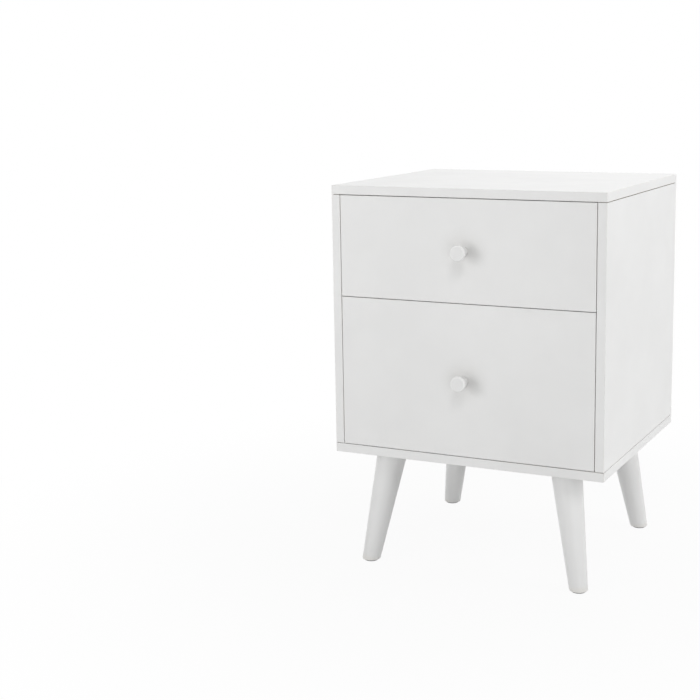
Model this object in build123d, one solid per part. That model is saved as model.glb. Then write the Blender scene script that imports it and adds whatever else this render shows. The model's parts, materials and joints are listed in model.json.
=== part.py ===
"""A two-drawer bedside table on four splayed round legs, as a flat-pack assembly.

Millimetres. +X is to the right of someone who faces the drawers, +Y runs from the drawer fronts
to the back, and +Z is up. The origin is on the floor, under the middle of the overall box.
"""
import os
from math import cos, hypot, radians, sqrt

from build123d import *

# ---- case -------------------------------------------------------------------------------------
WIDTH = 400.0                # case, left to right
DEPTH = 350.0                # case, front edges to back edges
CASE_HEIGHT = 384.0          # underside of the bottom panel to the top surface
LEG_HEIGHT = 166.0           # floor to the underside of the bottom panel
BOARD = 12.5                 # case boards and drawer boards
HARDBOARD = 3.0              # back panel and drawer bottoms
EDGE_EASE = 0.4              # rounding along every board edge
JOINT_LINE = 0.8             # height of the shadow lines where a side panel ends
LINE_DEPTH = 2.5             # how far the shadow lines go in
BACK_INSET = 8.0             # back edge of the case to the back panel
GROOVE_DEPTH = 5.0           # grooves that hold the hardboard
GROOVE_PLAY = 0.3            # free thickness, and free depth, in a groove

# ---- drawers ----------------------------------------------------------------------------------
GAP = 1.0                    # shadow gap round each drawer front
UPPER_FRONT_HEIGHT = 142.5   # the lower front takes what is left
BOX_RISE = 14.0              # front's lower edge to the lower edge of the drawer box
BOX_DROP = 15.0              # front's upper edge to the upper edge of the drawer box
BOTTOM_RISE = 10.0           # lower edge of the drawer box to its hardboard bottom
REAR_SPACE = 24.5            # drawer box to back panel, when shut

# ---- knobs ------------------------------------------------------------------------------------
KNOB_REACH = 23.0            # drawer front to the knob's face
KNOB_HEAD = 22.0             # diameter at the rim
KNOB_BASE = 13.0             # diameter on the drawer front
KNOB_RIM = 4.5               # length of the rim, along the knob's axis
KNOB_ROUND = 2.0             # rounding of the rim's front edge
KNOB_SHOULDER = 1.2          # how far the flare ends inside the rim
KNOB_TURN = 1.8              # length over which the flare turns into the rim
KNOB_SCREW = 4.0
KNOB_SCREW_HEAD = 8.5
KNOB_SCREW_CAP = 2.4         # height of the screw's head
KNOB_INSERT = 6.4            # outer diameter of the threaded sleeve
KNOB_INSERT_LENGTH = 12.0
KNOB_SCREW_DEPTH = 13.0      # depth of the hole for the sleeve and the screw's end
KNOB_SCREW_GRIP = 11.0       # how deep the screw goes into the sleeve

# ---- legs -------------------------------------------------------------------------------------
LEG_TOP = 44.0               # diameters square to the leg's own axis
LEG_FOOT = 26.0
LEG_INSET_X = 68.0           # side of the case to the leg's middle, at the underside
LEG_INSET_Y = 48.0           # front or back of the case to the leg's middle, at the underside
SPLAY_X = 27.0               # how far the foot stands out from the leg's top
SPLAY_Y = 23.0
FOOT_EASE = 1.2              # rounding of the foot's rim
LEG_BOLT = 8.0
LEG_BOLT_HEAD = 17.0
LEG_BOLT_CAP = 4.0
LEG_BOLT_GRIP = 22.0         # how deep the bolt goes into the leg
WASHER = 22.0
WASHER_SHEET = 1.6
LEG_INSERT = 12.0            # outer diameter of the threaded sleeve in the leg
LEG_INSERT_LENGTH = 18.0
PEG = 6.0                    # turning stop beside each leg bolt
PEG_OFFSET = 13.0            # bolt to peg
PEG_IN_LEG = 10.0
GLIDE = 21.0                 # plastic disc under each foot
GLIDE_SHEET = 2.0
GLIDE_NAIL = 2.5
GLIDE_NAIL_LENGTH = 14.0

# ---- knock-down fittings ----------------------------------------------------------------------
DOWEL = 6.0
DOWEL_IN_EDGE = 15.0         # depth in a board's edge
BLIND_FLOOR = 3.0            # wood left behind a blind hole in a board's face
CAM = 12.0                   # eccentric lock
CAM_SHEET = 9.0
CAM_SINK = 0.4               # how far the lock's face lies below the board
CAM_REACH = 24.0             # joint line to the middle of the lock
CAM_THREAD = 5.0
CAM_SHANK = 3.6
CAM_BALL = 5.6
CAM_COLLAR = 6.2
CAM_COLLAR_SHEET = 1.0
CAM_POINT = 1.5              # tapered end of the bolt's thread
CAM_END_PLAY = 1.0           # bolt's end to the bottom of its hole
CAM_FROM_EDGE = 50.0         # case: front or back edge to the lock
DOWEL_FROM_EDGE = 88.0       # case: front or back edge to the dowel
BOX_CAM_FROM_EDGE = 25.0     # drawer box: upper or lower edge to the lock
FIT = 0.2                    # clearance on the diameter of every hole for a loose fitting

# ---- ball-bearing rails -----------------------------------------------------------------------
RAIL_THICKNESS = 12.7        # case side to drawer side
RAIL_HEIGHT = 35.0
RAIL_SHEET = 1.2
RAIL_SETBACK = 2.0           # back of a drawer front to the rails
RAIL_BEND = 1.0              # rounding of the rolled corners
RAIL_TIP_LIP = 1.1           # turned-in lip on the case rail
RUN = 0.4                    # running clearance between sheets that slide past each other
CAGE_SHEET = 0.4
CAGE_OVERHANG = 2.2          # cage strip beyond the middle of its balls
BALL = 2.4
BALL_PLAY = 0.3
BALL_PITCH = 20.0
STOP_SHEET = 1.5             # bent-in stop at the back of the case rail
STOP_PLAY = 2.0
SHORTFALL = 20.0             # how much less than its own length a rail pair extends
CAGE_MARGIN = 10.0           # cage to the end of the overlap, at full travel
RAIL_SCREW = 3.0
RAIL_SCREW_HEAD = 7.0
RAIL_SCREW_CAP = 1.2
RAIL_SCREW_LENGTH = 9.0
RAIL_SCREW_INSET = 35.0
WINDOW_LENGTH = 26.0         # screwdriver windows in the middle rail
WINDOW_HEIGHT = 9.0

# ---- drawer back screws -----------------------------------------------------------------------
BACK_SCREW = 3.5
BACK_SCREW_HEAD = 7.0
BACK_SCREW_LENGTH = 32.0

# ---- planes worked out from the sizes above ---------------------------------------------------
FRONT = (KNOB_REACH - DEPTH) / 2
BACK = FRONT + DEPTH
BOTTOM = LEG_HEIGHT
FLOOR_IN = BOTTOM + BOARD                    # inside face of the bottom panel
TOP = BOTTOM + CASE_HEIGHT
CEILING_IN = TOP - BOARD                     # inside face of the top panel
SIDE_IN = WIDTH / 2 - BOARD                  # inside face of a side panel, from the middle
BACK_FACE = BACK - BACK_INSET - HARDBOARD    # inside face of the back panel
FRONT_REAR = FRONT + BOARD                   # back of the drawer fronts

RAIL_START = FRONT_REAR + RAIL_SETBACK
BOX_END = BACK_FACE - REAR_SPACE             # back of the drawer boxes
RAIL_LENGTH = BOX_END - RAIL_START
TRAVEL = RAIL_LENGTH - SHORTFALL             # how far a drawer comes out
BOX_OUT = SIDE_IN - RAIL_THICKNESS           # outside face of a drawer side, from the middle
BOX_IN = BOX_OUT - BOARD
GROOVE = HARDBOARD + GROOVE_PLAY
BLIND = BOARD - BLIND_FLOOR

LOWER_FRONT_HEIGHT = CASE_HEIGHT - 2 * BOARD - 3 * GAP - UPPER_FRONT_HEIGHT
LOWER_FRONT = FLOOR_IN + GAP                 # lower edges of the two fronts
UPPER_FRONT = LOWER_FRONT + LOWER_FRONT_HEIGHT + GAP
DRAWERS = {"upper": (UPPER_FRONT, UPPER_FRONT_HEIGHT), "lower": (LOWER_FRONT, LOWER_FRONT_HEIGHT)}
SIDES = {"left": -1, "right": 1}
ENDS = {"front": -1, "back": 1}


# ---- helpers ----------------------------------------------------------------------------------
def block(x, y, z):
    """Box between the pairs of limits x, y and z, given in any order."""
    size = [abs(b - a) for a, b in (x, y, z)]
    middle = [(a + b) / 2 for a, b in (x, y, z)]
    return Pos(*middle) * Box(*size)


def rectangle(x, y):
    """Rectangle between pairs of limits given in any order."""
    return Pos((x[0] + x[1]) / 2, (y[0] + y[1]) / 2) * Rectangle(abs(x[1] - x[0]), abs(y[1] - y[0]))


def board(x, y, z):
    """A board with all its edges eased."""
    plain = block(x, y, z)
    return fillet(plain.edges(), EDGE_EASE)


def place(shape, at, towards, x_dir=None):
    """Put a shape that was made at the origin, pointing up +Z, at a point and in a direction."""
    return Plane(origin=at, x_dir=x_dir, z_dir=towards) * shape


def rod(at, towards, diameter, length):
    """Round bar that starts at a point."""
    bar = Cylinder(diameter / 2, length, align=(Align.CENTER, Align.CENTER, Align.MIN))
    return place(bar, at, towards)


def turned(*profile):
    """Solid of revolution about Z from points (radius, height)."""
    outline = Plane.XZ * make_face(Polyline(*profile, close=True))
    return revolve(outline, Axis.Z)


def shift(point, direction, distance):
    """The point that lies a distance along a direction."""
    return tuple(p + d * distance for p, d in zip(point, direction))


def group(solids):
    """Separate identical pieces that share one node."""
    return Compound([one for solid in solids for one in solid.solids()])


def cross_recess(diameter, depth, top):
    """Cutter for a screwdriver cross in a head of this diameter, with its mouth at height top."""
    arm = diameter * 0.55
    slot = diameter * 0.12
    middle = top - depth / 2
    return Pos(0, 0, middle) * (Box(arm, slot, depth) + Box(slot, arm, depth))


def pan_screw(shank, length, head, cap):
    """Wood screw: flat underside at z = 0, domed head above, pointed shank below."""
    brim = (head / 2, cap * 0.4)
    shoulder = (head * 0.36, cap * 0.85)
    crown = (head * 0.22, cap)
    recess = cap * 0.6
    body = turned((0, -length), (shank / 2, shank - length), (shank / 2, 0), (head / 2, 0),
                  brim, shoulder, crown, (0, cap))
    return body - cross_recess(head, recess, cap)


def countersunk_screw(shank, length, head):
    """Wood screw whose flat head ends at z = 0, with the shank below."""
    cone = (head - shank) / 2
    recess = cone * 0.7
    body = turned((0, -length), (shank / 2, shank - length), (shank / 2, -cone), (head / 2, 0), (0, 0))
    return body - cross_recess(head, recess, 0)


def sleeve(outer, bore, length):
    """Threaded insert: a tube from z = 0 down to -length, with a chamfered end and a waist."""
    wall = outer / 2
    rib = outer * 0.04
    lead = length * 0.1
    waist = length / 2
    slope = length * 0.05
    return turned((bore / 2, -length), (wall - rib, -length), (wall, lead - length),
                  (wall, -waist - slope), (wall - rib, -waist), (wall, slope - waist), (wall, 0),
                  (bore / 2, 0))


# ---- dowels, cam bolts and cam locks ----------------------------------------------------------
def cam_bolt():
    """Threads below z = 0, then collar, shank and ball head, which ends in the lock."""
    thread, collar, shank, ball = CAM_THREAD / 2, CAM_COLLAR / 2, CAM_SHANK / 2, CAM_BALL / 2
    tip = CAM_END_PLAY - BLIND
    cone = CAM_COLLAR_SHEET + (collar - shank) / 2
    waist, belly, crown = ball * 0.7, ball * 0.3, ball * 0.8
    return turned((0, tip), (thread * 0.6, tip), (thread, tip + CAM_POINT), (thread, 0),
                  (collar, 0), (collar, CAM_COLLAR_SHEET), (shank, cone),
                  (shank, CAM_REACH - ball), (crown, CAM_REACH - waist),
                  (ball, CAM_REACH - belly), (ball, CAM_REACH + belly),
                  (waist, CAM_REACH + crown), (0, CAM_REACH + crown))


def cam_lock():
    """Eccentric lock standing on z = 0, with its mouth towards +X and a cross slot on top."""
    disc = Cylinder(CAM / 2, CAM_SHEET, align=(Align.CENTER, Align.CENTER, Align.MIN))
    rise = CAM_SHEET + CAM_SINK - BOARD / 2            # height of the bolt above the pocket's floor
    width = CAM_BALL + 3 * FIT
    height = min(rise + width / 2, CAM_SHEET * 0.8)
    mouth = block((0, CAM), (-width / 2, width / 2), (-CAM_SINK, height))
    hollow = rod((0, 0, -CAM_SINK), (0, 0, 1), width, height + CAM_SINK)
    recess = CAM_SHEET * 0.12
    return disc - mouth - hollow - cross_recess(CAM, recess, CAM_SHEET)


def cam_holes(at, bolt_towards, lock_towards):
    """Cutters for one cam joint: thread hole, bolt hole and lock pocket."""
    thread = rod(at, shift((0, 0, 0), bolt_towards, -1), CAM_THREAD + FIT, BLIND)
    bore = rod(at, bolt_towards, CAM_COLLAR + FIT, CAM_REACH)
    face = shift(shift(at, bolt_towards, CAM_REACH), lock_towards, BOARD / 2)
    pocket = rod(face, shift((0, 0, 0), lock_towards, -1), CAM + FIT, CAM_SHEET + CAM_SINK)
    return thread, bore, pocket


def cam_pieces(at, bolt_towards, lock_towards):
    """The bolt and the lock of one cam joint."""
    bolt = place(cam_bolt(), at, bolt_towards)
    floor_depth = BOARD / 2 - CAM_SHEET - CAM_SINK
    seat = shift(shift(at, bolt_towards, CAM_REACH), lock_towards, floor_depth)
    lock = place(cam_lock(), seat, lock_towards, shift((0, 0, 0), bolt_towards, -1))
    return bolt, lock


def case_joints():
    """Each cam joint of the case: joint point, bolt direction, lock direction, which panel, side."""
    for side in SIDES.values():
        for end in ENDS.values():
            edge = FRONT if end < 0 else BACK
            x, y = side * (WIDTH / 2 - BOARD / 2), edge - end * CAM_FROM_EDGE
            yield (x, y, CEILING_IN), (0, 0, -1), (-side, 0, 0), "top", side
            yield (x, y, FLOOR_IN), (0, 0, 1), (-side, 0, 0), "bottom", side


def case_dowel_points():
    """Each dowel of the case: joint point, direction into the side panel, which panel, side."""
    for side in SIDES.values():
        for end in ENDS.values():
            edge = FRONT if end < 0 else BACK
            x, y = side * (WIDTH / 2 - BOARD / 2), edge - end * DOWEL_FROM_EDGE
            yield (x, y, CEILING_IN), (0, 0, -1), "top", side
            yield (x, y, FLOOR_IN), (0, 0, 1), "bottom", side


# ---- case panels ------------------------------------------------------------------------------
def leg_top(side, end):
    """Middle of a leg's top, on the underside of the case."""
    x = side * (WIDTH / 2 - LEG_INSET_X)
    y = (FRONT + LEG_INSET_Y) if end < 0 else (BACK - LEG_INSET_Y)
    return x, y, BOTTOM


def peg_point(side, end):
    """The peg stands beside the leg bolt, towards the middle of the case."""
    x, y, z = leg_top(side, end)
    return x - side * PEG_OFFSET, y, z


def cap_panel(name):
    """Top or bottom panel: it covers the ends of both side panels."""
    low, high, joint = (CEILING_IN, TOP, CEILING_IN) if name == "top" else (BOTTOM, FLOOR_IN, FLOOR_IN)
    panel = board((-WIDTH / 2, WIDTH / 2), (FRONT, BACK), (low, high))
    inward = -1 if name == "top" else 1
    groove_x = SIDE_IN + GROOVE_DEPTH
    groove_y = (BACK - BACK_INSET - GROOVE, BACK - BACK_INSET)
    panel -= block((-groove_x, groove_x), groove_y, (joint, joint - inward * GROOVE_DEPTH))
    for at, bolt_towards, lock_towards, where, _ in case_joints():
        if where == name:
            panel -= cam_holes(at, bolt_towards, lock_towards)[0]
    for at, towards, where, _ in case_dowel_points():
        if where == name:
            panel -= rod(at, shift((0, 0, 0), towards, -1), DOWEL + FIT, BLIND)
    return panel


def bottom_panel():
    """Bottom panel with its leg bolt holes and blind peg holes."""
    panel = cap_panel("bottom")
    for side in SIDES.values():
        for end in ENDS.values():
            panel -= rod(leg_top(side, end), (0, 0, 1), LEG_BOLT + 2 * FIT, BOARD)
            panel -= rod(peg_point(side, end), (0, 0, 1), PEG + FIT, BLIND)
    return panel


def shadow_lines(side):
    """Rebates that leave a thin dark line where a side panel meets the top and the bottom."""
    inner = side * SIDE_IN
    outer = side * WIDTH / 2
    rebates = []
    for end, step in ((CEILING_IN, -JOINT_LINE), (FLOOR_IN, JOINT_LINE)):
        z = (end, end + step)
        core_y = (FRONT + LINE_DEPTH, BACK - LINE_DEPTH)
        core = block((inner, outer - side * LINE_DEPTH), core_y, z)
        rebates.append(block((inner, outer), (FRONT, BACK), z) - core)
    return rebates


def side_panel(side):
    """Side panel between the top and the bottom, with its fittings' holes and the back's groove."""
    panel = board((side * SIDE_IN, side * WIDTH / 2), (FRONT, BACK), (FLOOR_IN, CEILING_IN))
    for rebate in shadow_lines(side):
        panel -= rebate
    groove_y = (BACK - BACK_INSET - GROOVE, BACK - BACK_INSET)
    panel -= block((side * SIDE_IN, side * (SIDE_IN + GROOVE_DEPTH)), groove_y, (FLOOR_IN, CEILING_IN))
    for at, bolt_towards, lock_towards, _, which in case_joints():
        if which == side:
            _, bore, pocket = cam_holes(at, bolt_towards, lock_towards)
            panel -= bore
            panel -= pocket
    for at, towards, _, which in case_dowel_points():
        if which == side:
            panel -= rod(at, towards, DOWEL + FIT, DOWEL_IN_EDGE)
    for front_z, height in DRAWERS.values():
        for y in rail_screw_ys():
            at = (side * SIDE_IN, y, rail_middle(front_z, height))
            panel -= rod(at, (side, 0, 0), RAIL_SCREW + FIT, RAIL_SCREW_LENGTH - RAIL_SHEET)
    return panel


def back_panel():
    """Hardboard back, held in the grooves of all four boards."""
    half = SIDE_IN + GROOVE_DEPTH - GROOVE_PLAY
    reach = GROOVE_DEPTH - GROOVE_PLAY
    return block((-half, half), (BACK - BACK_INSET - HARDBOARD, BACK - BACK_INSET),
                 (FLOOR_IN - GROOVE_DEPTH, CEILING_IN + reach))


def case_fittings():
    """Dowels, cam bolts and cam locks of the case."""
    dowels, bolts, locks = [], [], []
    for at, towards, _, _ in case_dowel_points():
        dowels.append(rod(shift(at, towards, -BLIND), towards, DOWEL, BLIND + DOWEL_IN_EDGE))
    for at, bolt_towards, lock_towards, _, _ in case_joints():
        bolt, lock = cam_pieces(at, bolt_towards, lock_towards)
        bolts.append(bolt)
        locks.append(lock)
    return {"case_dowels": group(dowels), "case_cam_bolts": group(bolts), "case_cam_locks": group(locks)}


# ---- legs -------------------------------------------------------------------------------------
def leg(side, end):
    """Round tapered leg, leaning outwards both ways, cut level at its top and its foot."""
    x, y, z = leg_top(side, end)
    foot = (x + side * SPLAY_X, y + end * SPLAY_Y, GLIDE_SHEET)
    run = (foot[0] - x, foot[1] - y, foot[2] - z)
    length = sqrt(sum(r * r for r in run))
    axis = tuple(r / length for r in run)
    taper = (LEG_TOP - LEG_FOOT) / 2 / length
    spare = LEG_TOP * hypot(SPLAY_X, SPLAY_Y) / LEG_HEIGHT
    cone = Cone(LEG_TOP / 2 + taper * spare, LEG_FOOT / 2 - taper * spare, length + 2 * spare,
                align=(Align.CENTER, Align.CENTER, Align.MIN))
    reach = 2 * LEG_TOP + abs(run[0]) + abs(run[1])
    slab = block((x - reach, x + reach), (y - reach, y + reach), (GLIDE_SHEET, BOTTOM))
    body = place(cone, shift((x, y, z), axis, -spare), axis) & slab
    rim = body.edges().group_by(Axis.Z)[0]
    body = fillet(rim, FOOT_EASE)
    body -= rod((x, y, BOTTOM), (0, 0, -1), LEG_INSERT, LEG_INSERT_LENGTH)
    body -= rod((x, y, BOTTOM), (0, 0, -1), LEG_BOLT + FIT, LEG_BOLT_GRIP)
    body -= rod(peg_point(side, end), (0, 0, -1), PEG + FIT, PEG_IN_LEG)
    body -= rod(foot, (0, 0, 1), GLIDE_NAIL + FIT, GLIDE_NAIL_LENGTH)
    return body


def leg_bolt():
    """Button-head bolt with a hexagon socket: the underside of its head is at z = 0."""
    shank, head, cap = LEG_BOLT / 2, LEG_BOLT_HEAD / 2, LEG_BOLT_CAP
    length = BOARD + WASHER_SHEET + LEG_BOLT_GRIP
    chamfer = LEG_BOLT / 8
    brim = (head, cap * 0.3)
    shoulder = (head * 0.85, cap * 0.7)
    crown = (head * 0.6, cap)
    body = turned((0, -length), (shank - chamfer, -length), (shank, chamfer - length),
                  (shank, 0), (head, 0), brim, shoulder, crown, (0, cap))
    socket, floor = LEG_BOLT * 0.36, cap * 0.4
    return body - Pos(0, 0, floor) * extrude(RegularPolygon(socket, 6), cap - floor)


def washer():
    """Flat ring standing on z = 0."""
    hole = LEG_BOLT / 2 + FIT
    return turned((hole, 0), (WASHER / 2, 0), (WASHER / 2, WASHER_SHEET), (hole, WASHER_SHEET))


def glide():
    """Domed plastic disc on the floor with its nail above."""
    edge, nail = GLIDE / 2, GLIDE_NAIL / 2
    tip = GLIDE_SHEET + GLIDE_NAIL_LENGTH
    return turned((0, 0), (edge - GLIDE_SHEET / 2, 0), (edge, GLIDE_SHEET / 2), (edge, GLIDE_SHEET),
                  (nail, GLIDE_SHEET), (nail, tip - GLIDE_NAIL), (0, tip))


def leg_set():
    """Four legs and what fixes them to the bottom panel."""
    nodes, bolts, washers, inserts, pegs, glides = {}, [], [], [], [], []
    for side_name, side in SIDES.items():
        for end_name, end in ENDS.items():
            x, y, z = leg_top(side, end)
            nodes[f"{end_name}_{side_name}_leg"] = leg(side, end)
            washers.append(Pos(x, y, FLOOR_IN) * washer())
            bolts.append(Pos(x, y, FLOOR_IN + WASHER_SHEET) * leg_bolt())
            inserts.append(Pos(x, y, z) * sleeve(LEG_INSERT, LEG_BOLT + FIT, LEG_INSERT_LENGTH))
            low = shift(peg_point(side, end), (0, 0, 1), -PEG_IN_LEG)
            pegs.append(rod(low, (0, 0, 1), PEG, PEG_IN_LEG + BLIND))
            glides.append(Pos(x + side * SPLAY_X, y + end * SPLAY_Y, 0) * glide())
    nodes |= {"leg_bolts": group(bolts), "leg_bolt_washers": group(washers),
              "leg_inserts": group(inserts), "leg_pegs": group(pegs), "foot_glides": group(glides)}
    return nodes


# ---- rails: local x runs from the case side to the drawer side, z from the rail's middle --------
CASE_TIP = RAIL_THICKNESS - RAIL_SHEET - 2 * RUN - RAIL_TIP_LIP
OUTER_CAGE = RAIL_SHEET + RAIL_SCREW_CAP + RUN
MIDDLE_WEB = OUTER_CAGE + CAGE_SHEET + RUN
INNER_CAGE = MIDDLE_WEB + RAIL_SHEET + RUN
DRAWER_TIP = INNER_CAGE + CAGE_SHEET + RUN
MIDDLE_TIP = RAIL_THICKNESS - RAIL_SHEET - RUN
BALL_ROOM = BALL + 2 * BALL_PLAY
CASE_HALF = RAIL_HEIGHT / 2
MIDDLE_HALF = CASE_HALF - RAIL_SHEET - BALL_ROOM
DRAWER_HALF = MIDDLE_HALF - RAIL_SHEET - BALL_ROOM
OUTER_ROW = CASE_HALF - RAIL_SHEET - BALL_ROOM / 2
INNER_ROW = MIDDLE_HALF - RAIL_SHEET - BALL_ROOM / 2
OUTER_BALL_X = MIDDLE_WEB + RAIL_SHEET + BALL / 2
INNER_BALL_X = DRAWER_TIP + BALL
MOVING_END = BOX_END - STOP_SHEET - STOP_PLAY


def rail_middle(front_z, height):
    """Height of a rail pair: the middle of the drawer box's side."""
    return front_z + (BOX_RISE + height - BOX_DROP) / 2


def rail_screw_ys():
    """Where the screws stand along a rail."""
    first, last = RAIL_START + RAIL_SCREW_INSET, MOVING_END - RAIL_SCREW_INSET
    return first, (first + last) / 2, last


def channel(web, tip, half, end, lip=0.0):
    """C-section rail from RAIL_START to end: its web is at x = web and its flanges reach x = tip."""
    inward = 1 if tip > web else -1
    section = rectangle((web, web + inward * RAIL_SHEET), (-half, half))
    for edge in (-half, half):
        turn = -1 if edge > 0 else 1
        section += rectangle((web, tip), (edge, edge + turn * RAIL_SHEET))
        if lip:
            section += rectangle((tip, tip - inward * RAIL_SHEET), (edge, edge + turn * (RAIL_SHEET + lip)))
    corners = section.vertices().sort_by(Axis.X)
    section = fillet(corners[:2] if inward > 0 else corners[-2:], RAIL_BEND)
    return extrude(Plane((0, RAIL_START, 0), x_dir=(1, 0, 0), z_dir=(0, -1, 0)) * section,
                   end - RAIL_START, dir=(0, 1, 0))


def case_rail():
    """Outer rail, screwed to the case side, with a bent-in stop at its back end."""
    rail = channel(0, CASE_TIP, CASE_HALF, BOX_END, RAIL_TIP_LIP)
    rail += block((0, CASE_TIP), (BOX_END - STOP_SHEET, BOX_END), (-DRAWER_HALF, DRAWER_HALF))
    for y in rail_screw_ys():
        rail -= rod((0, y, 0), (1, 0, 0), RAIL_SCREW + FIT, RAIL_SHEET)
    return rail


def middle_rail():
    """Middle rail with windows that let a screwdriver through."""
    rail = channel(MIDDLE_WEB, MIDDLE_TIP, MIDDLE_HALF, MOVING_END)
    for y in rail_screw_ys():
        slot = SlotOverall(WINDOW_LENGTH, WINDOW_HEIGHT)
        window = Plane((MIDDLE_WEB, y, 0), x_dir=(0, 1, 0), z_dir=(1, 0, 0)) * slot
        rail -= extrude(window, RAIL_SHEET)
    return rail


def drawer_rail():
    """Inner rail, screwed to the drawer side."""
    rail = channel(RAIL_THICKNESS, DRAWER_TIP, DRAWER_HALF, MOVING_END)
    for y in rail_screw_ys():
        rail -= rod((RAIL_THICKNESS, y, 0), (-1, 0, 0), RAIL_SCREW + FIT, RAIL_SHEET)
    return rail


def ball_cage(web, row, ball_x):
    """Sheet cage with its two rows of balls. It is centred on the overlap at half travel."""
    start = RAIL_START + TRAVEL / 4 + CAGE_MARGIN
    end = start + (MOVING_END - RAIL_START) - TRAVEL / 2 - 2 * CAGE_MARGIN
    strip, tip = CAGE_SHEET / 2, ball_x + CAGE_OVERHANG
    cage = block((web, web + CAGE_SHEET), (start, end), (-row - strip, row + strip))
    count = int((end - start) / BALL_PITCH)
    first = (start + end - (count - 1) * BALL_PITCH) / 2
    balls = []
    for z in (-row, row):
        cage += block((web, tip), (start, end), (z - strip, z + strip))
        for step in range(count):
            at = (ball_x, first + step * BALL_PITCH, z)
            cage -= rod(shift(at, (0, 0, 1), -CAGE_SHEET), (0, 0, 1), BALL + FIT / 2, 2 * CAGE_SHEET)
            balls.append(Pos(*at) * Sphere(BALL / 2))
    return [cage] + balls


def on_case_side(shape, side, z):
    """Move a rail piece from its own axes to the left side of the case, or mirrored to the right."""
    moved = Pos(-SIDE_IN, 0, z) * shape
    return moved if side < 0 else mirror(moved, Plane.YZ)


def rail_set(name, front_z, height):
    """The case rails, middle rails, drawer rails, cages and screws of one drawer."""
    z = rail_middle(front_z, height)
    nodes, drawer_screws, outer, inner = {}, [], [], []
    screw = pan_screw(RAIL_SCREW, RAIL_SCREW_LENGTH, RAIL_SCREW_HEAD, RAIL_SCREW_CAP)
    for side_name, side in SIDES.items():
        nodes[f"{name}_{side_name}_case_rail"] = on_case_side(case_rail(), side, z)
        nodes[f"{name}_{side_name}_middle_rail"] = on_case_side(middle_rail(), side, z)
        nodes[f"{name}_{side_name}_drawer_rail"] = on_case_side(drawer_rail(), side, z)
        outer += [on_case_side(s, side, z) for s in ball_cage(OUTER_CAGE, OUTER_ROW, OUTER_BALL_X)]
        inner += [on_case_side(s, side, z) for s in ball_cage(INNER_CAGE, INNER_ROW, INNER_BALL_X)]
        for y in rail_screw_ys():
            seat = (side * (BOX_OUT + RAIL_SHEET), y, z)
            drawer_screws.append(place(screw, seat, (side, 0, 0)))
    nodes[f"{name}_outer_ball_cages"] = group(outer)
    nodes[f"{name}_inner_ball_cages"] = group(inner)
    nodes[f"{name}_drawer_rail_screws"] = group(drawer_screws)
    return nodes


def case_rail_screws():
    """Screws of all four case rails."""
    screw = pan_screw(RAIL_SCREW, RAIL_SCREW_LENGTH, RAIL_SCREW_HEAD, RAIL_SCREW_CAP)
    screws = []
    for front_z, height in DRAWERS.values():
        for side in SIDES.values():
            for y in rail_screw_ys():
                seat = (side * (SIDE_IN - RAIL_SHEET), y, rail_middle(front_z, height))
                screws.append(place(screw, seat, (-side, 0, 0)))
    return group(screws)


# ---- knob -------------------------------------------------------------------------------------
def knob():
    """Turned knob on z = 0: it flares from its base to a rounded rim with a flat face."""
    base, head, neck = KNOB_BASE / 2, KNOB_HEAD / 2, KNOB_REACH - KNOB_RIM
    shoulder = head - KNOB_SHOULDER
    rim_start = neck + KNOB_TURN
    rim_end = KNOB_REACH - KNOB_ROUND
    flare_middle = (base + (shoulder - base) * 0.42, neck * 0.52)
    turn_middle = (head - KNOB_SHOULDER / 4, neck + KNOB_TURN * 0.4)
    corner = KNOB_ROUND * (1 - cos(radians(45)))
    outline = [
        Line((0, 0), (base, 0)),
        ThreePointArc((base, 0), flare_middle, (shoulder, neck)),
        ThreePointArc((shoulder, neck), turn_middle, (head, rim_start)),
        Line((head, rim_start), (head, rim_end)),
        ThreePointArc((head, rim_end), (head - corner, KNOB_REACH - corner),
                      (head - KNOB_ROUND, KNOB_REACH)),
        Line((head - KNOB_ROUND, KNOB_REACH), (0, KNOB_REACH)),
        Line((0, KNOB_REACH), (0, 0)),
    ]
    body = revolve(Plane.XZ * make_face(Curve() + outline), Axis.Z)
    return body - rod((0, 0, 0), (0, 0, 1), KNOB_INSERT, KNOB_SCREW_DEPTH)


def knob_set(name, front_z, height):
    """Knob, its threaded sleeve, and the screw that comes from inside the drawer."""
    middle = (0, FRONT, front_z + height / 2)
    out = (0, -1, 0)
    insert = sleeve(KNOB_INSERT, KNOB_SCREW + FIT, KNOB_INSERT_LENGTH)
    screw = pan_screw(KNOB_SCREW, BOARD + KNOB_SCREW_GRIP, KNOB_SCREW_HEAD, KNOB_SCREW_CAP)
    return {f"{name}_knob": place(knob(), middle, out),
            f"{name}_knob_insert": place(insert, middle, (0, 1, 0)),
            f"{name}_knob_screw": place(screw, shift(middle, out, -BOARD), (0, 1, 0))}


# ---- drawer boxes -----------------------------------------------------------------------------
def box_limits(front_z, height):
    """Lower and upper edge of a drawer box."""
    return front_z + BOX_RISE, front_z + height - BOX_DROP


def box_levels(front_z, height):
    """Heights of the locks and screws in a drawer side."""
    low, high = box_limits(front_z, height)
    return low + BOX_CAM_FROM_EDGE, high - BOX_CAM_FROM_EDGE


def box_joints(front_z, height, side):
    """Cam joints between a drawer front and one drawer side."""
    for z in box_levels(front_z, height):
        yield (side * (BOX_OUT - BOARD / 2), FRONT_REAR, z), (0, 1, 0), (-side, 0, 0)


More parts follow.
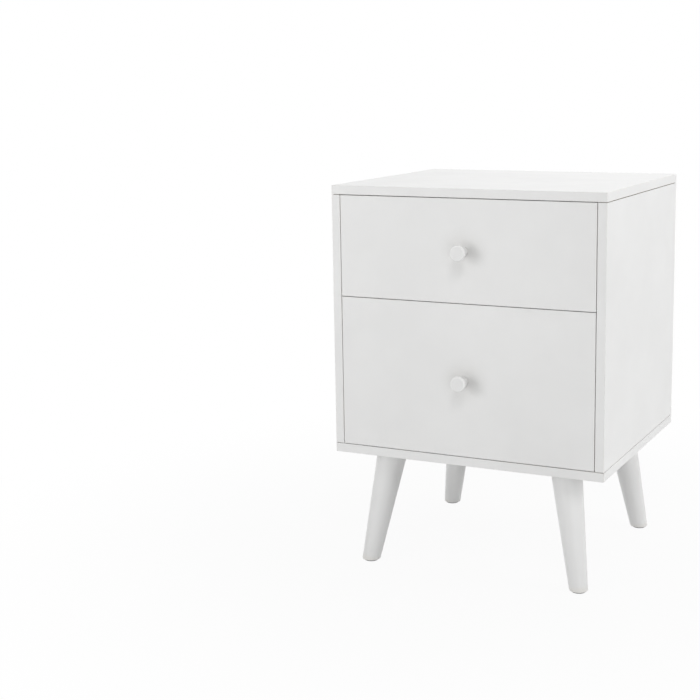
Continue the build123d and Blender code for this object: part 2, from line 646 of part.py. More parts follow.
def drawer_front(front_z, height):
    """Inset front with its knob hole, bottom groove and thread holes."""
    half = SIDE_IN - GAP
    front = board((-half, half), (FRONT, FRONT_REAR), (front_z, front_z + height))
    groove_z = front_z + BOX_RISE + BOTTOM_RISE
    groove_x = BOX_IN + GROOVE_DEPTH
    front -= block((-groove_x, groove_x), (FRONT_REAR - GROOVE_DEPTH, FRONT_REAR),
                   (groove_z, groove_z + GROOVE))
    front -= rod((0, FRONT, front_z + height / 2), (0, 1, 0), KNOB_SCREW + 2 * FIT, BOARD)
    for side in SIDES.values():
        for joint in box_joints(front_z, height, side):
            front -= cam_holes(*joint)[0]
    return front


def drawer_side(front_z, height, side):
    """Drawer side with lock pockets, bottom groove, rail holes and back screw holes."""
    low, high = box_limits(front_z, height)
    panel = board((side * BOX_IN, side * BOX_OUT), (FRONT_REAR, BOX_END), (low, high))
    groove_z = low + BOTTOM_RISE
    panel -= block((side * BOX_IN, side * (BOX_IN + GROOVE_DEPTH)), (FRONT_REAR, BOX_END),
                   (groove_z, groove_z + GROOVE))
    for joint in box_joints(front_z, height, side):
        _, bore, pocket = cam_holes(*joint)
        panel -= bore
        panel -= pocket
    for y in rail_screw_ys():
        at = (side * BOX_OUT, y, rail_middle(front_z, height))
        panel -= rod(at, (-side, 0, 0), RAIL_SCREW + FIT, RAIL_SCREW_LENGTH - RAIL_SHEET)
    for z in box_levels(front_z, height):
        panel -= back_screw_hole(side, z)
    return panel


def back_screw_seat(side, z):
    """Where the head of a back screw lies flush in the drawer side."""
    return side * BOX_OUT, BOX_END - BOARD / 2, z


def back_screw_hole(side, z):
    """Cutter for one back screw: pilot hole and countersink."""
    seat = back_screw_seat(side, z)
    shank, head = BACK_SCREW / 2 + FIT / 2, BACK_SCREW_HEAD / 2
    cone = head - shank
    clear = BOARD / 2
    cutter = turned((0, -BACK_SCREW_LENGTH), (shank, -BACK_SCREW_LENGTH), (shank, -cone), (head, 0),
                    (head, clear), (0, clear))
    return place(cutter, seat, (side, 0, 0))


def drawer_back(front_z, height):
    """Back board between the drawer sides."""
    low, high = box_limits(front_z, height)
    panel = board((-BOX_IN, BOX_IN), (BOX_END - BOARD, BOX_END), (low, high))
    groove_z = low + BOTTOM_RISE
    start = BOX_END - BOARD
    panel -= block((-BOX_IN, BOX_IN), (start, start + GROOVE_DEPTH), (groove_z, groove_z + GROOVE))
    for side in SIDES.values():
        for z in box_levels(front_z, height):
            panel -= back_screw_hole(side, z)
    return panel


def drawer_bottom(front_z, height):
    """Hardboard bottom, held in the grooves of the front, the sides and the back."""
    low, _ = box_limits(front_z, height)
    reach = GROOVE_DEPTH - GROOVE_PLAY
    return block((-BOX_IN - reach, BOX_IN + reach), (FRONT_REAR - reach, BOX_END - BOARD + reach),
                 (low + BOTTOM_RISE, low + BOTTOM_RISE + HARDBOARD))


def drawer_set(name, front_z, height):
    """Every piece of one drawer apart from its rails and knob."""
    nodes = {f"{name}_drawer_front": drawer_front(front_z, height),
             f"{name}_drawer_back": drawer_back(front_z, height),
             f"{name}_drawer_bottom": drawer_bottom(front_z, height)}
    bolts, locks, screws = [], [], []
    screw = countersunk_screw(BACK_SCREW, BACK_SCREW_LENGTH, BACK_SCREW_HEAD)
    for side_name, side in SIDES.items():
        nodes[f"{name}_drawer_{side_name}_side"] = drawer_side(front_z, height, side)
        for joint in box_joints(front_z, height, side):
            bolt, lock = cam_pieces(*joint)
            bolts.append(bolt)
            locks.append(lock)
        for z in box_levels(front_z, height):
            screws.append(place(screw, back_screw_seat(side, z), (side, 0, 0)))
    nodes |= {f"{name}_drawer_cam_bolts": group(bolts), f"{name}_drawer_cam_locks": group(locks),
              f"{name}_drawer_back_screws": group(screws)}
    return nodes


# ---- assembly ---------------------------------------------------------------------------------
def assembly():
    """Every node by name."""
    nodes = {"top_panel": cap_panel("top"), "bottom_panel": bottom_panel(), "back_panel": back_panel()}
    for name, side in SIDES.items():
        nodes[f"{name}_side_panel"] = side_panel(side)
    nodes |= case_fittings()
    nodes |= leg_set()
    nodes["case_rail_screws"] = case_rail_screws()
    for name, (front_z, height) in DRAWERS.items():
        nodes |= rail_set(name, front_z, height)
        nodes |= drawer_set(name, front_z, height)
        nodes |= knob_set(name, front_z, height)
    return nodes


os.makedirs("parts", exist_ok=True)
for node, shape in assembly().items():
    export_step(shape, f"parts/{node}.step")
print("drawer travel", TRAVEL, "rail length", RAIL_LENGTH, "lower front height", LOWER_FRONT_HEIGHT)
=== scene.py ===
# %% [markdown]
# # A white bedside table with two drawers
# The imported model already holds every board, leg, rail and screw at its true size and place. This
# lesson leaves those shapes alone. It gives each one the surface of the real finish, and it makes
# the turned pieces again as smooth surfaces, because light on a round shape shows every flat facet.
# Lengths are in metres, +Z is up, and the drawers open towards -Y.

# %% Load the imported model
import json
from math import cos, pi, radians, sin

import bpy
import numpy as np
from mathutils import Matrix, Vector


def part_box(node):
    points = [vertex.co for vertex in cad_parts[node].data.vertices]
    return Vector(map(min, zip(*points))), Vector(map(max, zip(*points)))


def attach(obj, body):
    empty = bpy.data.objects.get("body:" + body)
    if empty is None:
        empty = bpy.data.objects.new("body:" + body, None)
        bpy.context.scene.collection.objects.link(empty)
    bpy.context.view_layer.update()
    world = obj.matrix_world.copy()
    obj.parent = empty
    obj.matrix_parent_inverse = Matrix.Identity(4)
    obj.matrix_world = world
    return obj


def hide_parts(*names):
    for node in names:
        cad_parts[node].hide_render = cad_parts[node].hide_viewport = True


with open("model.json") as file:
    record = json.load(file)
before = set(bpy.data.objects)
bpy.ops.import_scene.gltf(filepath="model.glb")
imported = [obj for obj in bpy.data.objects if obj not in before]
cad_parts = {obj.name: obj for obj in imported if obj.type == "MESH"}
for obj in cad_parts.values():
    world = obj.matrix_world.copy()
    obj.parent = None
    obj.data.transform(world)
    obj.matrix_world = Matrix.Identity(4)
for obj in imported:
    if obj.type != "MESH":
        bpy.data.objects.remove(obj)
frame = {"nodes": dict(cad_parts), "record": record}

bpy.context.view_layer.update()

# %% [markdown]
# ## The camera
# A long lens from a standing height shows a piece of furniture with little distortion, its front
# and its right side at once. A camera looks along its own -Z axis, so its matrix is built from three
# directions: right, up, and the reverse of where it looks. Writing the turn, the tip and the roll as
# angles keeps them easy to read and to change. The table stands right of the middle and low in the
# frame, and a small lens shift puts it there without turning the camera away from it, so the upright
# edges stay nearly parallel.

# %% Place the camera
CAMERA_STAND = Vector((0.7149, -1.8513, 0.6987))
CAMERA_TURN = radians(25.40)      # from straight back (+Y) towards the left
CAMERA_TIP = radians(9.60)        # below level
CAMERA_ROLL = radians(0.63)
LENS = 70.37                      # millimetres, on a 36 mm wide sensor
SHIFT = (-0.08, -0.06)            # parts of the picture's width

look = Vector((-sin(CAMERA_TURN) * cos(CAMERA_TIP), cos(CAMERA_TURN) * cos(CAMERA_TIP), -sin(CAMERA_TIP)))
level = look.cross(Vector((0, 0, 1))).normalized()
upright = level.cross(look)
right = level * cos(CAMERA_ROLL) - upright * sin(CAMERA_ROLL)
up = upright * cos(CAMERA_ROLL) + level * sin(CAMERA_ROLL)

camera = bpy.data.objects.new("camera", bpy.data.cameras.new("camera"))
camera.data.lens = LENS
camera.data.shift_x, camera.data.shift_y = SHIFT
camera.matrix_world = Matrix.Translation(CAMERA_STAND) @ Matrix((right, up, -look)).transposed().to_4x4()
bpy.context.scene.collection.objects.link(camera)
bpy.context.scene.camera = camera
bpy.context.scene.view_settings.view_transform = "Standard"
print("camera distance", round(CAMERA_STAND.length, 3), "m")

# %% [markdown]
# ## Light
# White paint is shown best by large soft lamps in a pale room: small lamps would burn out the top
# and leave the front grey. The box overhead hangs a little behind the table, so it lights the top and
# not the front. The box at the left gives most of the light on the drawers, and each knob throws its
# soft shadow to the right. A smaller high one at the right adds a fainter shadow, down and to the left.
# A large box brightens the right side. The other four stand low, with their upper edges below the
# table's top: from a grazing angle the satin top would mirror a lamp that stands higher. They lift the
# lower drawer, the legs, the left side and the back. The world adds the light that a pale room returns
# from everywhere. Each lamp is an area light that is aimed with the same short function.

# %% Lamps
def soft_lamp(name, stand, aim, width, height, power):
    """Softbox of that width and height at stand, facing the point aim."""
    lamp = bpy.data.lights.new(name, "AREA")
    lamp.shape = "RECTANGLE"
    lamp.size = width
    lamp.size_y = height
    lamp.energy = power
    holder = bpy.data.objects.new(name, lamp)
    towards = Vector(aim) - Vector(stand)
    turn = towards.to_track_quat("-Z", "Y").to_matrix().to_4x4()
    holder.matrix_world = Matrix.Translation(stand) @ turn
    bpy.context.scene.collection.objects.link(holder)
    return holder


TABLE_MIDDLE = (0.0, 0.0, 0.35)
soft_lamp("overhead_box", (0.1, 0.8, 2.3), TABLE_MIDDLE, 1.8, 1.8, 19.0)
soft_lamp("left_box", (-1.35, -1.95, 0.80), TABLE_MIDDLE, 1.2, 1.2, 13.6)
soft_lamp("high_box", (0.80, -1.67, 2.3), TABLE_MIDDLE, 0.7, 0.7, 9.8)
soft_lamp("right_box", (2.3, 0.1, 1.2), TABLE_MIDDLE, 1.4, 1.4, 23.8)
soft_lamp("front_box", (1.5, -2.1, 0.29), TABLE_MIDDLE, 1.2, 0.5, 4.6)
soft_lamp("low_box", (-0.3, -1.5, 0.14), TABLE_MIDDLE, 0.6, 0.3, 1.4)
soft_lamp("back_left_box", (-2.2, 1.2, 0.28), TABLE_MIDDLE, 0.9, 0.5, 11.0)
soft_lamp("back_box", (-0.6, 2.4, 0.28), TABLE_MIDDLE, 0.9, 0.5, 7.0)

# %% [markdown]
# ## Short words for node trees
# A procedural finish is a small machine of nodes. Written out call by call it is long and hard to
# read, so a few helpers stand for the steps that come back all the time: start a finish, add a node, do
# a sum, stretch a range, measure a distance. Each takes a plain number or another node's output. Node
# groups could do the same inside Blender, but a function is shorter, and it can choose what to build.

# %% Node helpers
def add(tree, kind, wires, **settings):
    """Adds one node. wires maps its inputs to numbers, colours or other nodes' outputs."""
    node = tree.nodes.new("ShaderNode" + kind)
    for name, value in settings.items():
        setattr(node, name, value)
    for key, value in wires.items():
        if isinstance(value, bpy.types.NodeSocket):
            tree.links.new(value, node.inputs[key])
        else:
            node.inputs[key].default_value = value
    return node


def sum_of(tree, operation, first, second=0.0):
    """One step of arithmetic on two numbers."""
    return add(tree, "Math", {0: first, 1: second}, operation=operation).outputs[0]


def ranged(tree, value, low, high, to_low, to_high):
    """Stretches low..high to to_low..to_high with soft ends, and holds the ends outside it."""
    wires = {"Value": value, "From Min": low, "From Max": high, "To Min": to_low, "To Max": to_high}
    return add(tree, "MapRange", wires, interpolation_type="SMOOTHSTEP").outputs["Result"]


def stretched(tree, place, factors):
    """Coordinates multiplied axis by axis, which draws a pattern out along the small factors."""
    return add(tree, "VectorMath", {0: place, 1: factors}, operation="MULTIPLY").outputs["Vector"]


def distance(tree, place, axes=(1.0, 1.0, 1.0)):
    """Distance from the origin, measured only along the axes that are 1."""
    along = stretched(tree, place, axes)
    return add(tree, "VectorMath", {0: along}, operation="LENGTH").outputs["Value"]


def new_finish(name):
    """An empty material with its tree, its main shader and the object's own coordinates."""
    finish = bpy.data.materials.new(name)
    finish.use_nodes = True
    tree = finish.node_tree
    place = add(tree, "TexCoord", {}).outputs["Object"]
    return finish, tree, tree.nodes["Principled BSDF"], place


print("node helpers", [helper.__name__ for helper in (add, sum_of, ranged, stretched, distance, new_finish)])

# %% [markdown]
# ## White all round
# The room behind the table is plain white. More light on a grey wall could make it so, but would burn
# out the table too. Instead the world shows pure white wherever the camera or a reflection looks
# straight at it, and lights the table at a lower, plainer level. The kind of ray tells the two apart.

# %% The room
ROOM_LIGHT = 0.32


def seen_directly(tree):
    """1 for rays from the camera, from a reflection or through glass."""
    path = add(tree, "LightPath", {})
    glossy = sum_of(tree, "MAXIMUM", path.outputs["Is Camera Ray"], path.outputs["Is Glossy Ray"])
    return sum_of(tree, "MAXIMUM", glossy, path.outputs["Is Transmission Ray"])


def make_room():
    """World that looks white and lights the table softly."""
    world = bpy.data.worlds.new("room")
    world.use_nodes = True
    tree = world.node_tree
    tree.nodes.clear()
    light = add(tree, "Background", {"Color": (1, 1, 1, 1), "Strength": ROOM_LIGHT})
    white = add(tree, "Background", {"Color": (1, 1, 1, 1), "Strength": 1.0})
    wires = {0: seen_directly(tree), 1: light.outputs[0], 2: white.outputs[0]}
    both = add(tree, "MixShader", wires)
    add(tree, "OutputWorld", {"Surface": both.outputs[0]})
    bpy.context.scene.world = world


make_room()
print("room light", ROOM_LIGHT)

# %% [markdown]
# ## A floor without a horizon
# The floor plays the same trick with distance. Near the legs it is real pale floor that takes the
# table's soft shadow, and further out it fades into the white of the room, so no horizon shows. It is
# a disc, because a square one would show its corners in some views.

# %% The floor
FLOOR_TONE = (0.62, 0.62, 0.617)
FLOOR_LIFT = 0.94                 # how much of the white room shows on the floor beside the table
FLOOR_CLEAR = (0.25, 0.95)        # distances over which the floor turns into the room
FLOOR_RINGS = (1.0, 6.0)          # radii of the floor's inner disc and of its edge
FLOOR_SPOKES = 64


def make_floor():
    """Round floor: the point at angle a and distance d is (d cos a, d sin a, 0)."""
    angle, away = np.meshgrid(np.linspace(0, 2 * pi, FLOOR_SPOKES, endpoint=False), FLOOR_RINGS)
    rings = np.stack([away * np.cos(angle), away * np.sin(angle), 0 * angle], -1).reshape(-1, 3)
    inner = np.arange(FLOOR_SPOKES)
    after = (inner + 1) % FLOOR_SPOKES
    band = np.stack([inner, inner + FLOOR_SPOKES, after + FLOOR_SPOKES, after], -1)
    mesh = bpy.data.meshes.new("floor")
    mesh.from_pydata(rings.tolist(), [], band.tolist() + [inner.tolist()])
    floor = bpy.data.objects.new("floor", mesh)
    bpy.context.scene.collection.objects.link(floor)
    return floor


def floor_finish():
    """Pale floor that turns into the white room with distance."""
    finish, tree, plain_shader, place = new_finish("pale_floor")
    tree.nodes.remove(plain_shader)
    white_share = ranged(tree, distance(tree, place), *FLOOR_CLEAR, FLOOR_LIFT, 1.0)
    share = sum_of(tree, "MULTIPLY", white_share, seen_directly(tree))
    pale = add(tree, "BsdfDiffuse", {"Color": (*FLOOR_TONE, 1.0)})
    white = add(tree, "Emission", {"Color": (1, 1, 1, 1), "Strength": 1.0})
    both = add(tree, "MixShader", {0: share, 1: pale.outputs[0], 2: white.outputs[0]})
    tree.links.new(both.outputs[0], tree.nodes["Material Output"].inputs["Surface"])
    return finish


floor = make_floor()
floor.data.materials.append(floor_finish())
print("floor of", len(floor.data.polygons), "faces, lifted by", FLOOR_LIFT)

# %% [markdown]
# ## Short words for patterns
# Every real surface varies a little from place to place. Noise is the simplest source of that: a soft
# random field in space, with no seams and no image to lay out. The next helpers sample it, use it to
# go from one colour or number to another, and turn it into relief, which only bends the light and
# leaves the shape as it is.

# %% Pattern helpers
CLEAR = (0.35, 0.65)              # noise values that become the two ends of a clear pattern
SOFT = (0.30, 0.70)               # and of a soft one


def noise(tree, place, per_metre, detail=2.0):
    """Soft random field from about 0.3 to 0.7, with that many lumps to the metre."""
    wires = {"Vector": place, "Scale": per_metre, "Detail": detail}
    return add(tree, "TexNoise", wires).outputs["Fac"]


def tint(tree, share, first, second, how="MIX"):
    """Colour that goes from first to second as share goes from 0 to 1.

    With how="MULTIPLY" it goes from first to first times second.
    """
    node = add(tree, "Mix", {0: share}, data_type="RGBA", blend_type=how)
    for index, colour in ((6, first), (7, second)):
        if isinstance(colour, bpy.types.NodeSocket):
            tree.links.new(colour, node.inputs[index])
        else:
            node.inputs[index].default_value = (*colour, 1.0)
    return node.outputs[2]


def between(tree, share, first, second):
    """Number that goes from first to second as share goes from 0 to 1."""
    return add(tree, "Mix", {0: share, 2: first, 3: second}, data_type="FLOAT").outputs[0]


def relief(tree, height, depth, below=None):
    """Bump of that depth in metres; below is a coarser bump that it rides on."""
    wires = {"Height": height, "Distance": depth, "Strength": 1.0}
    if below is not None:
        wires["Normal"] = below
    return add(tree, "Bump", wires).outputs["Normal"]


def darker(tone, share):
    """The same tone with every part of it multiplied by share."""
    return tuple(share * part for part in tone)


def wire(tree, shader, colour, roughness, normal):
    """Connects the three things that every finish drives."""
    tree.links.new(colour, shader.inputs["Base Color"])
    tree.links.new(roughness, shader.inputs["Roughness"])
    tree.links.new(normal, shader.inputs["Normal"])


def driver_of(shader, key):
    """The output that drives one of the shader's inputs so far."""
    return shader.inputs[key].links[0].from_socket


print("pattern helpers", [helper.__name__ for helper in (noise, tint, between, relief, wire, driver_of)])

# %% [markdown]
# ## Satin lacquer
# The boards, legs and knobs are sprayed white. Sprayed paint is never one flat colour: it is a little
# thicker here and there, it dries with a fine skin like the peel of an orange, it waves slightly over
# a hand's width, and hands polish it along the edges. A painted image could hold all that, but it
# would blur close up and have to be laid out piece by piece. Here one function makes it from noise at
# any place it is given, so the same paint can lie on a flat board or follow a turned leg.

# %% The lacquer
CLOUD = 9.0                       # thick and thin paint, in lumps to the metre
RUB = 14.0                        # places that hands have rubbed more or less
SHEEN = 35.0                      # places with more or less gloss
WAVE = 28.0                       # slow waves
PEEL = 620.0                      # fine skin
THIN_PAINT = 0.975                # tone of the thin places
SHEEN_SPREAD = 0.05               # roughness that the gloss varies by
POLISH = 0.03                     # how much smoother a rubbed place is
WAVE_DEPTH = 0.00010
PEEL_DEPTH = 0.000016
WORN_TINT = (0.980, 0.973, 0.960)


def lacquer(tree, shader, place, tone, gloss, rubbed, under=None, wear_and_highlight_tint=WORN_TINT):
    """Sprayed satin paint over the relief under.

    Where rubbed is 1, the tone is multiplied by the last argument and the paint is a little smoother.
    A darker tint shows wear and dirt, and a lighter one on a knob's rim is a painted highlight.
    """
    cloud = ranged(tree, noise(tree, place, CLOUD, 3.0), *CLEAR, 0.0, 1.0)
    colour = tint(tree, cloud, darker(tone, THIN_PAINT), tone)
    patchy = ranged(tree, noise(tree, place, RUB), *CLEAR, 0.2, 1.0)
    wear_and_highlight_share = sum_of(tree, "MULTIPLY", rubbed, patchy)
    # The tint below gives wear on boards, dirt at a leg's foot and a painted highlight on a knob's rim.
    wear_and_highlight_tone = tuple(part * share for part, share in zip(tone, wear_and_highlight_tint))
    colour = tint(tree, wear_and_highlight_share, colour, wear_and_highlight_tone)
    sheen = noise(tree, place, SHEEN, 4.0)
    roughness = ranged(tree, sheen, *SOFT, gloss - SHEEN_SPREAD, gloss + SHEEN_SPREAD)
    roughness = sum_of(tree, "SUBTRACT", roughness, sum_of(tree, "MULTIPLY", wear_and_highlight_share, POLISH))
    wave = relief(tree, noise(tree, place, WAVE, 1.0), WAVE_DEPTH, under)
    peel = relief(tree, noise(tree, place, PEEL), PEEL_DEPTH, wave)
    wire(tree, shader, colour, roughness, peel)


print("lacquer waves are", WAVE_DEPTH * 1000, "mm deep and its skin is", PEEL_DEPTH * 1000, "mm deep")

# %% [markdown]
# ## Where is the edge of a board?
# A board is a box. At any point inside it, take the distances to its three pairs of faces. On a face
# the smallest of them is zero, and the middle one is the distance to the nearest edge. That is enough
# to rub the paint along every edge of every board, without painting a mask by hand. Where the smallest
# one isn't zero, the point lies inside a groove, a hole or the thin shadow line at the end of a side
# panel. Boards are cut before they are sprayed, and little paint gets in there, so the fibre shows.

# %% Distance to a board's nearest edge
def face_distances(tree, place, low, high):
    """Smallest and middle one of the three distances from a point to the faces of the box."""
    centre = [(a + b) / 2 for a, b in zip(low, high)]
    half = [(b - a) / 2 for a, b in zip(low, high)]
    offset = add(tree, "VectorMath", {0: place, 1: centre}, operation="SUBTRACT").outputs["Vector"]
    away = add(tree, "VectorMath", {0: offset}, operation="ABSOLUTE").outputs["Vector"]
    inside = add(tree, "VectorMath", {0: half, 1: away}, operation="SUBTRACT").outputs["Vector"]
    x, y, z = add(tree, "SeparateXYZ", {0: inside}).outputs
    larger = sum_of(tree, "MAXIMUM", x, y)
    smaller = sum_of(tree, "MINIMUM", x, y)
    middle = sum_of(tree, "MAXIMUM", smaller, sum_of(tree, "MINIMUM", larger, z))
    return sum_of(tree, "MINIMUM", smaller, z), middle


low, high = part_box("top_panel")
print("the top is a box of", [round(1000 * side, 1) for side in high - low], "mm")

# %% [markdown]
# ## Finger marks and painted shade
# Fingers brush against the board behind a knob, and in time the paint there turns a little grey. The
# darkening also stands in for the knob's soft shadow on the board, so it is partly finger grime and partly
# painted shade. It is round, so the distance from the knob's axis is all that it needs: the colour is
# multiplied by a slightly grey tone near the knob, and the tone fades out over a few finger widths.
# A little noise keeps it from looking like a printed disc.

# %% Finger marks and painted shade round a knob
# The grey tone below is partly finger grime and partly painted shade of the knob on the board.
GRIP_AND_SHADE_REACH = (0.007, 0.040)       # distances from a knob's axis where the marks are full and gone
GRIP_AND_SHADE_TONE = (0.920, 0.916, 0.908)
GRIP_AND_SHADE_BREAKUP = 90.0                     # lumps to the metre


def finger_marks_and_painted_shade(tree, shader, place, knob_middle):
    """Faint grey bloom round the knob's middle, finger grime and painted shade: the paint times a grey tone,
    fading with distance.
    """
    aside = add(tree, "VectorMath", {0: place, 1: knob_middle}, operation="SUBTRACT").outputs["Vector"]
    near_knob = ranged(tree, distance(tree, aside, (1.0, 0.0, 1.0)), *GRIP_AND_SHADE_REACH, 1.0, 0.0)
    breakup = ranged(tree, noise(tree, place, GRIP_AND_SHADE_BREAKUP, 3.0), *CLEAR, 0.8, 1.0)
    share = sum_of(tree, "MULTIPLY", near_knob, breakup)
    # Multiplying the colour darkens the board round each knob: finger grime and painted shade of the knob.
    grimed_and_shaded = tint(tree, share, driver_of(shader, "Base Color"), GRIP_AND_SHADE_TONE, "MULTIPLY")
    tree.links.new(grimed_and_shaded, shader.inputs["Base Color"])


print("finger marks fade between", [1000 * reach for reach in GRIP_AND_SHADE_REACH], "mm from a knob's axis")

# %% [markdown]
# ## Paint every board
# Now the parts come together. Each board gets a finish of its own, because the edge test and the finger
# marks with their painted shade need that board's own box, but all of them share the same lacquer. The
# case and the drawer fronts are the whitest. The boxes of the drawers get a cheaper, duller coat, as they
# do in a shop.

# %% Board finishes
CASE_WHITE = (0.86, 0.86, 0.855)
BOX_WHITE = (0.85, 0.85, 0.84)
SATIN = 0.36                      # roughness of the outer paint
DULL_SATIN = 0.50                 # and of the paint inside the drawers
EDGE_WEAR = (0.0004, 0.0022)      # distances from an edge over which the rubbing fades
CUT_DEPTH = (0.00025, 0.00050)    # depths below a face over which paint gives way to fibre
DARK_FIBRE = (0.26, 0.225, 0.185)
PALE_FIBRE = (0.37, 0.33, 0.275)
FIBRE = 1100.0                    # lumps to the metre


def board_finish(node_name, tone, gloss):
    """Lacquer for one board, rubbed along its edges, and bare fibre in its grooves and holes."""
    finish, tree, shader, place = new_finish(node_name + "_paint")
    depth, near = face_distances(tree, place, *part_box(node_name))
    lacquer(tree, shader, place, tone, gloss, ranged(tree, near, *EDGE_WEAR, 1.0, 0.0))
    # Drawer fronts get finger grime and painted shade round their knob.
    if node_name.endswith("_drawer_front"):
        low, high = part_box(node_name.replace("_drawer_front", "_knob"))
        finger_marks_and_painted_shade(tree, shader, place, (low + high) / 2)
    cut = ranged(tree, depth, *CUT_DEPTH, 0.0, 1.0)
    fibre = noise(tree, place, FIBRE, 4.0)
    bare = tint(tree, ranged(tree, fibre, *CLEAR, 0.0, 1.0), DARK_FIBRE, PALE_FIBRE)
    dry = ranged(tree, fibre, *SOFT, 0.75, 0.9)
    colour = tint(tree, cut, driver_of(shader, "Base Color"), bare)
    roughness = between(tree, cut, driver_of(shader, "Roughness"), dry)
    wire(tree, shader, colour, roughness, driver_of(shader, "Normal"))
    return finish


board_finishes = {}
for name, node in frame["nodes"].items():
    kind = node.data.materials[0].name
    if kind == "white_board":
        board_finishes[name] = board_finish(name, CASE_WHITE, SATIN)
    if kind == "drawer_board":
        board_finishes[name] = board_finish(name, BOX_WHITE, DULL_SATIN)
print("painted boards", len(board_finishes))

# %% [markdown]
# ## Hardboard
# The back and the drawer bottoms are thin hardboard: wood fibre pressed flat against a smooth plate
# on one side and a wire screen on the other. The smooth side faces the inside. The screen leaves a
# tiny waffle on the outer side, which two crossed sine waves copy well. As real shape it would need
# millions of faces, so it is relief in the finish. Flecks of fibre show faintly through the paint.

# %% Hardboard finish
HARDBOARD_WHITE = (0.84, 0.84, 0.825)
SCREEN_PITCH = 0.0016
SCREEN_DEPTH = 0.00006
SCREEN_FADE = 0.0005              # depth from the middle of the sheet at which the print is full
FUZZ = 900.0                      # fine fibres, in lumps to the metre
FUZZ_DEPTH = 0.00003
FLECKS = 240.0                    # coarse ones that show through the paint
FLECK_TONE = 0.955
SHEET_CLOUD = 11.0                # thick and thin paint


def waffle(tree, place, first, second):
    """Screen print: the sine along one axis times the sine along the other."""
    axes = add(tree, "SeparateXYZ", {0: place}).outputs
    turns = 2 * pi / SCREEN_PITCH
    wave = [sum_of(tree, "SINE", sum_of(tree, "MULTIPLY", axes[i], turns)) for i in (first, second)]
    return sum_of(tree, "MULTIPLY", *wave)


def hardboard_finish(node_name, across, screen_side):
    """Painted hardboard. across is the axis through the sheet, screen_side is +1 or -1 along it."""
    finish, tree, shader, place = new_finish(node_name + "_paint")
    low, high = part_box(node_name)
    depth = add(tree, "SeparateXYZ", {0: place}).outputs[across]
    middle = (low[across] + high[across]) / 2
    behind = sum_of(tree, "MULTIPLY", sum_of(tree, "SUBTRACT", depth, middle), screen_side)
    on_screen = ranged(tree, behind, 0.0, SCREEN_FADE, 0.0, 1.0)
    first, second = [axis for axis in range(3) if axis != across]
    print_height = sum_of(tree, "MULTIPLY", waffle(tree, place, first, second), on_screen)
    fuzz = noise(tree, place, FUZZ, 4.0)
    fleck = ranged(tree, noise(tree, place, FLECKS, 5.0), 0.38, 0.66, 0.0, 1.0)
    cloud = ranged(tree, noise(tree, place, SHEET_CLOUD, 3.0), *CLEAR, 0.0, 1.0)
    paint = tint(tree, cloud, HARDBOARD_WHITE, darker(HARDBOARD_WHITE, THIN_PAINT))
    colour = tint(tree, fleck, paint, darker(HARDBOARD_WHITE, FLECK_TONE))
    roughness = ranged(tree, fuzz, *SOFT, 0.48, 0.62)
    printed = relief(tree, print_height, SCREEN_DEPTH)
    wire(tree, shader, colour, roughness, relief(tree, fuzz, FUZZ_DEPTH, printed))
    return finish


HARDBOARD_SHEETS = {"back_panel": (1, 1), "upper_drawer_bottom": (2, -1), "lower_drawer_bottom": (2, -1)}
for name, (across, screen_side) in HARDBOARD_SHEETS.items():
    board_finishes[name] = hardboard_finish(name, across, screen_side)
print("hardboard sheets", list(HARDBOARD_SHEETS))

# %% [markdown]
# ## Metal
# Roll-formed rails carry fine lines along their length, and zinc plating clouds their shine. Screws
# and castings have no direction, only a grain. Both are one function: a noise that is drawn out along
# an axis by the factors it is given, and that drives tone, roughness and a very shallow relief. The
# shader's own anisotropy could stretch the shine too, but it needs a direction laid over each piece.

# %% Metal finish
ZINC_BLOOM = 0.88                 # tone of the dull clouds in the plating
BLOOM = 120.0                     # their lumps to the metre
SHINIER, DULLER = -0.08, 0.10     # how far the grain moves the roughness
ALONG_Y = (2600.0, 60.0, 2600.0)  # lumps to the metre along X, Y and Z
EVEN = (1500.0, 1500.0, 1500.0)


def metal_finish(name, tone, gloss, factors, depth):
    """Metal with a grain that is drawn out by the factors along X, Y and Z."""
    finish, tree, shader, place = new_finish(name)
    grain = noise(tree, stretched(tree, place, factors), 1.0, 3.0)
    cloud = ranged(tree, noise(tree, place, BLOOM, 3.0), *CLEAR, 0.0, 1.0)
    colour = tint(tree, cloud, darker(tone, ZINC_BLOOM), tone)
    streaks = ranged(tree, grain, *SOFT, gloss + SHINIER, gloss + DULLER)
    shader.inputs["Metallic"].default_value = 1.0
    wire(tree, shader, colour, streaks, relief(tree, grain, depth))
    return finish


metals = {                        # slot: name, tone, roughness, grain and its depth
    "rail_steel": metal_finish("zinc_rail", (0.66, 0.67, 0.69), 0.34, ALONG_Y, 0.000006),
    "cage_steel": metal_finish("oiled_cage", (0.60, 0.61, 0.62), 0.26, ALONG_Y, 0.000004),
    "cast_zinc": metal_finish("cast_zinc_lock", (0.62, 0.62, 0.61), 0.46, EVEN, 0.000018),
    "plated_steel": metal_finish("plated_screw", (0.70, 0.70, 0.68), 0.30, EVEN, 0.000008),
    "brass": metal_finish("turned_brass", (0.78, 0.64, 0.34), 0.30, EVEN, 0.000008),
}
print("metals", list(metals))

# %% [markdown]
# ## Beech and nylon
# Dowels and pegs are plain beech, pale and straight-grained with short darker flecks. Noise that is
# drawn out along the grain gives both, and rings of growth don't show on so thin a rod. The glides are
# moulded nylon with the faint mottle of a blasted mould, which plain fine noise gives.

# %% Beech and nylon finishes
BEECH_DARK = (0.66, 0.48, 0.31)
BEECH_PALE = (0.76, 0.60, 0.42)
BEECH_FLECK = (0.52, 0.35, 0.20)
UPRIGHT_GRAIN = (900.0, 900.0, 45.0)        # lumps to the metre along X, Y and Z
UPRIGHT_FLECKS = (1500.0, 1500.0, 320.0)
BEECH_RELIEF = 0.00004
NYLON_DARK = (0.27, 0.27, 0.28)
NYLON_PALE = (0.31, 0.31, 0.32)
MOTTLE = 1400.0
MOTTLE_DEPTH = 0.00002


